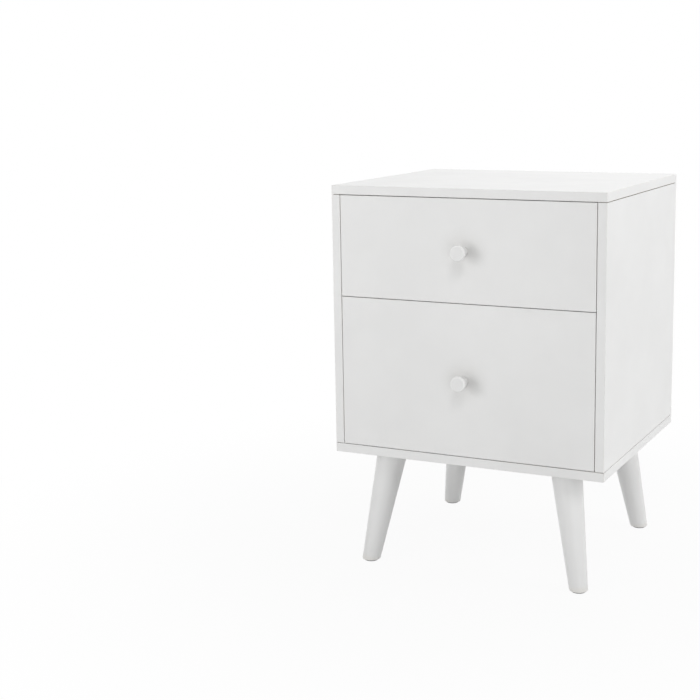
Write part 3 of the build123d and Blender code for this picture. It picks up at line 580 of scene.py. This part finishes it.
def beech_finish():
    """Straight grain and flecks, drawn out along Z, the way the dowels stand."""
    finish, tree, shader, place = new_finish("plain_beech")
    grain = noise(tree, stretched(tree, place, UPRIGHT_GRAIN), 1.0, 4.0)
    flecks = noise(tree, stretched(tree, place, UPRIGHT_FLECKS), 1.0)
    wood = tint(tree, ranged(tree, grain, *CLEAR, 0.0, 1.0), BEECH_DARK, BEECH_PALE)
    colour = tint(tree, ranged(tree, flecks, 0.60, 0.70, 0.0, 1.0), wood, BEECH_FLECK)
    roughness = ranged(tree, grain, *SOFT, 0.50, 0.66)
    wire(tree, shader, colour, roughness, relief(tree, grain, BEECH_RELIEF))
    return finish


def nylon_finish():
    """Grey nylon with a blasted-mould mottle."""
    finish, tree, shader, place = new_finish("grey_nylon")
    mottle = noise(tree, place, MOTTLE, 3.0)
    cloud = ranged(tree, noise(tree, place, 180.0), *CLEAR, 0.0, 1.0)
    colour = tint(tree, cloud, NYLON_DARK, NYLON_PALE)
    roughness = ranged(tree, mottle, *SOFT, 0.42, 0.58)
    wire(tree, shader, colour, roughness, relief(tree, mottle, MOTTLE_DEPTH))
    return finish


others = {"beech": beech_finish(), "glide_plastic": nylon_finish()}
print("other finishes", list(others))

# %% [markdown]
# ## Hand out the finishes
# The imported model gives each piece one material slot, named for what the piece is made of. Boards and
# hardboard have their own finish by the piece's name, and everything else shares one by the slot's
# name. Only the slot is filled: the shapes stay as they were packed. The legs and the knobs are left
# for the next steps.

# %% Give every node its finish
finishes = {**metals, **others}
for name, node in frame["nodes"].items():
    kind = node.data.materials[0].name
    finish = board_finishes.get(name) or finishes.get(kind)
    if finish:
        node.material_slots[0].material = finish
print("nodes still to be made again", [n for n in frame["nodes"] if n.endswith(("_leg", "_knob"))])

# %% [markdown]
# ## Turned pieces
# A lathe turns a profile about an axis, and so does this step: every profile point becomes a ring, and
# the two ends, which lie on the axis, close in a single point each. Each point also remembers where it
# was on the lathe, as an attribute named own_place, so that the finish can follow the piece even after
# it leans over or lies on its side. A curve with a Screw modifier would turn the same shape, but its
# points couldn't carry that note.

# %% Mesh from rings
def ring_faces(rings, spokes):
    """Quads between neighbouring rings, and a fan from the first and the last ring to its pole."""
    ring, spoke = np.meshgrid(np.arange(rings - 1), np.arange(spokes), indexing="ij")
    after = (spoke + 1) % spokes
    walls = np.stack([ring * spokes + spoke, (ring + 1) * spokes + spoke,
                      (ring + 1) * spokes + after, ring * spokes + after], -1).reshape(-1, 4)
    here = np.arange(spokes)
    there = (here + 1) % spokes
    last = (rings - 1) * spokes
    top = np.stack([np.full(spokes, rings * spokes), here, there], -1)
    bottom = np.stack([np.full(spokes, rings * spokes + 1), last + there, last + here], -1)
    return walls.tolist() + top.tolist() + bottom.tolist()


def closed_piece(name, rings, poles, own_rings, own_poles):
    """Piece from rings of points (ring, spoke, xyz) and the two poles, with its own_place."""
    points = np.concatenate([rings.reshape(-1, 3), poles])
    mesh = bpy.data.meshes.new(name)
    mesh.from_pydata(points.tolist(), [], ring_faces(*rings.shape[:2]))
    own = np.concatenate([own_rings.reshape(-1, 3), own_poles]).astype(np.float32)
    attribute = mesh.attributes.new("own_place", "FLOAT_VECTOR", "POINT")
    attribute.data.foreach_set("vector", own.ravel())
    mesh.shade_smooth()
    piece = bpy.data.objects.new(name, mesh)
    bpy.context.scene.collection.objects.link(piece)
    return piece


def compare_box(piece, node_name):
    """Largest difference between a new piece's box and the node it stands for, in millimetres."""
    points = np.empty(3 * len(piece.data.vertices))
    piece.data.vertices.foreach_get("co", points)
    points = points.reshape(-1, 3)
    low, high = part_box(node_name)
    gap = np.abs(np.concatenate([points.min(0) - low, points.max(0) - high])).max() * 1000
    print(piece.name, "faces", len(piece.data.polygons), "box differs by", round(float(gap), 3), "mm")


print("three rings of four spokes close with", len(ring_faces(3, 4)), "faces")

# %% [markdown]
# ## The shape of a knob
# Each knob is turned from one piece of wood. It flares from a narrow base like a trumpet, turns into a
# short straight rim and ends in a flat face with a well rounded edge. That rounded edge matters most:
# it catches the light as a bright ring. A few extra profile points beside each curve keep the flat face
# flat when the surface is shaded smoothly. The profile is what a turner's template would be.

# %% Profile of a knob
KNOB_BASE = 0.0130                # diameter where the flare starts
KNOB_RIM = 0.0045                 # length of the head behind the face
KNOB_ROUND = 0.0020               # radius between face and rim
KNOB_SHOULDER = 0.0012            # how far the head steps in before the flare
KNOB_TURN = 0.0018                # length of the curve that steps in
KNOB_FLARE = 1.28                 # 1 would be a plain cone, and more is a trumpet
KNOB_FOOT = 0.0016                # rounding where the base meets the board, seen as a dark line
KNOB_SOCKET = 0.0064              # diameter of the hole for the brass sleeve
KNOB_SOCKET_DEPTH = 0.0130
KNOB_SPOKES = 96
NEAR_FACE = 0.0004                # an extra ring this near to a curve keeps the flat beside it flat
NEAR_FLOOR = 0.0003               # the same for the bottom of the socket


def arc(middle, radius, start, end, count):
    """Points on a circle from one angle to another: middle + radius (cos, sin)."""
    angle = np.linspace(start, end, count)
    return np.stack([middle[0] + radius * np.cos(angle), middle[1] + radius * np.sin(angle)], -1)


def pulled(start, pull, end, count):
    """Points (1 - t)(1 - t) start + 2 t (1 - t) pull + t t end, a curve that leans towards pull."""
    t = np.linspace(0, 1, count)[:, None]
    start, pull, end = np.array([start, pull, end])
    return start * (1 - t) ** 2 + 2 * t * (1 - t) * pull + t ** 2 * end


def knob_profile(head, reach):
    """Knob from the middle of its face, round the rim, down the flare and into its socket.

    Each point is (distance from the axis, height above the board). With t from 1 at the shoulder to
    0 at the base, the flare's radius is base + (shoulder - base) t ** KNOB_FLARE.
    """
    neck = reach - KNOB_RIM
    shoulder, base, socket = head - KNOB_SHOULDER, KNOB_BASE / 2, KNOB_SOCKET / 2
    flat = head - KNOB_ROUND - NEAR_FACE
    face = [[0, reach], [0.3 * head, reach], [0.6 * head, reach], [flat, reach]]
    edge = arc((head - KNOB_ROUND, reach - KNOB_ROUND), KNOB_ROUND, pi / 2, 0, 12)
    pull = (head - 0.1 * KNOB_SHOULDER, neck + 0.35 * KNOB_TURN)
    turn = pulled((head, neck + KNOB_TURN), pull, (shoulder, neck), 24)
    t = 1 - np.linspace(0, 1, 28)[1:]
    flare = np.stack([base + (shoulder - base) * t ** KNOB_FLARE, KNOB_FOOT + (neck - KNOB_FOOT) * t], -1)
    foot = arc((base - KNOB_FOOT, KNOB_FOOT), KNOB_FOOT, 0, -pi / 2, 8)
    hole = [[socket, 0], [socket, NEAR_FACE], [socket, KNOB_SOCKET_DEPTH - NEAR_FLOOR],
            [socket - NEAR_FACE, KNOB_SOCKET_DEPTH], [0, KNOB_SOCKET_DEPTH]]
    return np.concatenate([face, edge, turn[1:], flare, foot[1:], hole])


print("a knob's profile has", len(knob_profile(0.011, 0.023)), "points")

# %% [markdown]
# ## Turn the knobs
# The template goes round the lathe's axis, and the finished knob is laid on its side with its face to
# the front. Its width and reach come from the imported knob's box, so the two always agree.

# %% Turn the knobs
def turn_knob(node_name):
    """Turned about its axis: the point (r, h) at angle a is (r cos a, r sin a, h) on the lathe."""
    low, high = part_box(node_name)
    middle = (low + high) / 2
    profile = knob_profile((high.x - low.x) / 2, high.y - low.y)
    angle = np.linspace(0, 2 * pi, KNOB_SPOKES, endpoint=False)
    radius, height = profile[1:-1, :1], profile[1:-1, 1:]
    own = np.stack([radius * np.cos(angle), radius * np.sin(angle), height + 0 * angle], -1)
    own_poles = np.array([[0, 0, profile[0, 1]], [0, 0, profile[-1, 1]]])

    def fitted(points):
        """From the lathe, where the axis is +Z, to the drawer, where it points to -Y."""
        across, upwards, along = points[..., 0], points[..., 1], points[..., 2]
        return np.stack([middle.x + across, high.y - along, middle.z + upwards], -1)

    piece = closed_piece(node_name + "_turned", fitted(own), fitted(own_poles), own, own_poles)
    compare_box(piece, node_name)
    return piece


knobs = {level: turn_knob(level + "_knob") for level in ("upper", "lower")}

# %% [markdown]
# ## The shape of a leg
# A leg is a straight taper that leans outwards both ways, cut level at the case and at the floor. On
# the leaning cone, each straight line from the top to the foot is a pair of circles joined point to
# point. Where such a line crosses a level is one division, so the whole leg comes from one formula,
# and both cuts are exactly level. The foot's rim is then drawn in by a small quarter round. A cone
# that is cut with booleans has the same outline, but its long thin faces would shade unevenly.

# %% Surface of a leg
LEG_TOP = 0.044                   # diameters square to the leg's axis
LEG_FOOT = 0.026
SPLAY = (0.027, 0.023)            # how far the foot stands out, to the side and to the front or back
FOOT_EASE = 0.0012                # radius of the foot's rounded rim
LEG_RINGS = 60
LEG_SPOKES = 96
NEAR_TOP = 0.0004                 # extra rings this near to the ends keep the side straight there
NEAR_RIM = 0.0006


def leg_levels(foot, top):
    """Levels from the case down to the foot, close together where the rim is rounded."""
    plain = np.linspace(top - NEAR_TOP, foot + FOOT_EASE + NEAR_RIM, LEG_RINGS)
    round_off = foot + FOOT_EASE * (1 - np.sin(np.linspace(0, pi / 2, 9)))
    return np.concatenate([[top], plain, round_off])


def leg_surface(foot, top, radius_foot, radius_top, levels):
    """Leaning cone with level rings.

    Along the axis from top to foot, in the direction d, the circle at distance s has the radius
    R(s) = radius_top + slope s. Its point at angle a lies at top + s d + R(s) (u cos a + v sin a).
    That point is at level z when s = (z - top_z - radius_top w) / (d_z + slope w), where w is the
    upward part of u cos a + v sin a. At height h inside the rim's rounding, with e = FOOT_EASE, the
    radius is smaller by e - sqrt(e e - (e - h)(e - h)).
    """
    run = foot - top
    length = np.linalg.norm(run)
    d = run / length
    u = np.cross(d, [0.0, 1.0, 0.0])
    u /= np.linalg.norm(u)
    v = np.cross(u, d)
    slope = (radius_foot - radius_top) / length
    angle = np.linspace(0, 2 * pi, LEG_SPOKES, endpoint=False)
    spoke = np.cos(angle)[:, None] * u + np.sin(angle)[:, None] * v
    w = spoke[:, 2]
    s = (levels[:, None] - top[2] - radius_top * w) / (d[2] + slope * w)
    radius = radius_top + slope * s
    below_curve = np.clip(FOOT_EASE - (levels - foot[2]), 0, FOOT_EASE)
    drawn_in = FOOT_EASE - np.sqrt(np.maximum(FOOT_EASE ** 2 - below_curve ** 2, 0))
    points = top + s[..., None] * d + (radius - drawn_in[:, None])[..., None] * spoke
    points[..., 2] = levels[:, None]
    own = np.stack([radius * np.cos(angle), radius * np.sin(angle), s], -1)
    return points, own


print("a leg has", len(leg_levels(0.0, 0.166)), "levels of", LEG_SPOKES, "points")

# %% [markdown]
# ## Turn the legs
# The record says where the middle of each foot stands. The splay leads from there to the middle of the
# leg's top, always towards the middle of the table, so one function makes all four.

# %% Turn the legs
def turn_leg(node_name, foot_place):
    """One leg, from the middle of its foot in the record and the splay."""
    low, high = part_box(node_name)
    outwards = np.sign(foot_place[:2])
    foot = np.array([foot_place[0], foot_place[1], low.z])
    top = np.array([*(foot[:2] - outwards * SPLAY), high.z])
    points, own = leg_surface(foot, top, LEG_FOOT / 2, LEG_TOP / 2, leg_levels(low.z, high.z))
    length = np.linalg.norm(foot - top)
    own_poles = np.array([[0, 0, 0], [0, 0, length]])
    piece = closed_piece(node_name + "_turned", points, np.array([top, foot]), own, own_poles)
    compare_box(piece, node_name)
    return piece


mounts = {mount["name"]: mount["pos_m"] for mount in frame["record"]["mounts"]}
feet = {name.replace("_foot", "_leg"): place for name, place in mounts.items() if name.endswith("_foot")}
legs = {leg_name: turn_leg(leg_name, place) for leg_name, place in feet.items()}

# %% [markdown]
# ## Lacquer that follows the lathe
# Under the paint, the wood's grain runs along the leg and the tool leaves rings across it. Both are
# read from own_place, so they run with the leg and not straight up. On a knob the rings are circles
# round its face. Where the paint wears is read from own_place too: the sum of the distance along the
# axis and a share of the distance from it is largest on a knob's rounded rim or at a leg's foot. A foot
# gets dirty there. A knob's rim gets smoother paint and a lighter colour, a painted highlight ring.

# %% Finish for the turned pieces
LEG_WHITE = (0.845, 0.845, 0.84)
KNOB_WHITE = (0.84, 0.84, 0.835)
LEG_GRAIN = (500.0, 500.0, 14.0)  # lumps to the metre across the grain, twice, and along it
KNOB_GRAIN = (700.0, 700.0, 60.0)
GRAIN_DEPTH = 0.000014
LEG_FEED = 0.0011                 # how far the tool moves in one turn of the lathe
KNOB_FEED = 0.0006
RING_DEPTH = 0.000001
DIRTY = (0.960, 0.945, 0.920)     # what the tone is multiplied by at a leg's foot
# The rim tint below is lighter than white paint: a painted highlight.
PAINTED_RIM_HIGHLIGHT = (1.13, 1.13, 1.13)        # and on a knob's rim
FOOT_WEAR = (0.159, 0.167)        # distances along a leg where its wear starts and is full
RIM_POLISH_AND_HIGHLIGHT = (0.0314, 0.0320)       # the same for a knob, along the axis and outwards together


def turned_finish(name, tone, grain, feed, wear_and_highlight_tint, outwards, wear):
    """Lacquer over turned wood: faint grain along the axis and tool rings round it.

    The wear, and on a knob the painted highlight, grows with the distance along the axis plus
    outwards times the distance from it.
    """
    finish, tree, shader, _ = new_finish(name)
    own = add(tree, "Attribute", {}, attribute_name="own_place").outputs["Vector"]
    along = add(tree, "SeparateXYZ", {0: own}).outputs["Z"]
    out = distance(tree, own, (1.0, 1.0, 0.0))
    travel = sum_of(tree, "MULTIPLY", sum_of(tree, "ADD", along, out), 2 * pi / feed)
    rings = relief(tree, sum_of(tree, "SINE", travel), RING_DEPTH)
    under = relief(tree, noise(tree, stretched(tree, own, grain), 1.0, 3.0), GRAIN_DEPTH, rings)
    # On a knob this mask also lightens the rim's colour, a painted highlight.
    reach = sum_of(tree, "ADD", along, sum_of(tree, "MULTIPLY", out, outwards))
    rubbed = ranged(tree, reach, *wear, 0.0, 1.0)
    lacquer(tree, shader, own, tone, SATIN, rubbed, under, wear_and_highlight_tint)
    return finish


leg_paint = turned_finish("leg_paint", LEG_WHITE, LEG_GRAIN, LEG_FEED, DIRTY, 0.0, FOOT_WEAR)
# The knob's rim is lightened in colour, a painted highlight ring.
knob_paint = turned_finish("knob_paint", KNOB_WHITE, KNOB_GRAIN, KNOB_FEED, PAINTED_RIM_HIGHLIGHT, 1.0, RIM_POLISH_AND_HIGHLIGHT)
print("turned finishes", leg_paint.name, knob_paint.name)

# %% [markdown]
# ## Put the turned pieces in their places
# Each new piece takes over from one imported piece: it gets the paint, moves with the same part of the
# table and hides the shape that it stands for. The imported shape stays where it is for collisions.

# %% Paint them and let them ride
for leg_name, piece in legs.items():
    piece.data.materials.append(leg_paint)
    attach(piece, "cabinet")
    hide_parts(leg_name)
for level, piece in knobs.items():
    piece.data.materials.append(knob_paint)
    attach(piece, level + "_drawer")
    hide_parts(level + "_knob")
print("turned pieces", [p.name for p in (*legs.values(), *knobs.values())])
